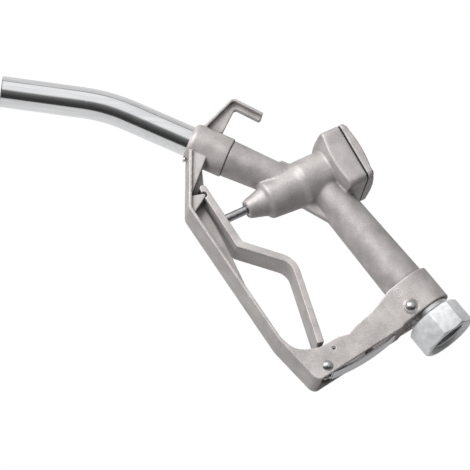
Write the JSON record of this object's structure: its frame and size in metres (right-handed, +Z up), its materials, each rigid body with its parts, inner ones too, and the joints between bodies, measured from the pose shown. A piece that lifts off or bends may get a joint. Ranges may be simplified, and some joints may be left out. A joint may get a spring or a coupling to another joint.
{
  "type": "fuel nozzle",
  "caption": "Manual fuel transfer nozzle: cast body, bent spout, squeeze lever inside a guard with a hang hook, spring-loaded poppet valve and swivel hose nut.",
  "frame": {"origin": "centre of the hose inlet's mouth, on the axis of the swivel nut", "axes": "+X from the spout towards the hose inlet's side, +Y across the width (the line of the lever's hinge), +Z up over the hang hook"},
  "size_m": [0.394, 0.052, 0.2374],
  "materials": {
    "cast_aluminium": "sand-blasted casting, fine matt grain",
    "guard_aluminium": "sand-blasted casting, fine matt grain",
    "polished_spout": "polished drawn tube",
    "plated_nut": "satin nickel plate",
    "bright_screws": "bright zinc plate",
    "spring_steel": "plain rolled steel",
    "brass": "turned brass",
    "black_rubber": "black nitrile rubber"
  },
  "bodies": {
    "body": {"valve_body": "cast_aluminium", "valve_cap": "cast_aluminium", "spout_lock_screw": "guard_aluminium", "lever_guard": "guard_aluminium", "spout": "polished_spout", "guard_bolt_nut": "plated_nut", "cap_screws": "bright_screws", "guard_bolt": "bright_screws", "latch_pin": "bright_screws", "valve_spring": "spring_steel", "latch_spring": "spring_steel", "gland_circlip": "spring_steel", "stop_pin": "spring_steel", "swivel_ring": "spring_steel", "stem_bush": "brass", "spout_seal": "black_rubber", "cap_gasket": "black_rubber", "stem_o_rings": "black_rubber", "swivel_o_ring": "black_rubber", "hose_gasket": "black_rubber"},
    "lever": {"lever": "guard_aluminium"},
    "valve": {"valve_stem": "spring_steel", "poppet": "brass", "poppet_seal": "black_rubber", "poppet_nut": "brass"},
    "latch": {"hold_open_latch": "spring_steel"},
    "swivel": {"swivel_nut": "plated_nut"}
  },
  "joints": [
    {"name": "lever_squeeze", "type": "hinge", "parent": "body", "child": "lever", "pos_m": [-0.20801, 0, 0.09097], "axis": [0, -1, 0], "range_deg": [0, 13], "stiffness_Nm_per_rad": 1.3, "springref_deg": -22.35},
    {"name": "valve_lift", "type": "slide", "parent": "body", "child": "valve", "axis": [0.832, 0, 0.5548], "range_m": [0, 0.00515], "deforming": ["valve_spring"]},
    {"name": "latch_swing", "type": "hinge", "parent": "body", "child": "latch", "pos_m": [-0.09753, 0, -0.04303], "axis": [0, -1, 0], "range_deg": [0, 8], "stiffness_Nm_per_rad": 0.03, "springref_deg": -17.19},
    {"name": "inlet_swivel", "type": "hinge", "parent": "body", "child": "swivel", "pos_m": [0, 0, 0], "axis": [0.6896, 0, -0.7242], "continuous": true}
  ],
  "couplings": [
    {"joint": "valve_lift", "follows": "lever_squeeze", "m_per_rad": 0.0226}
  ]
}
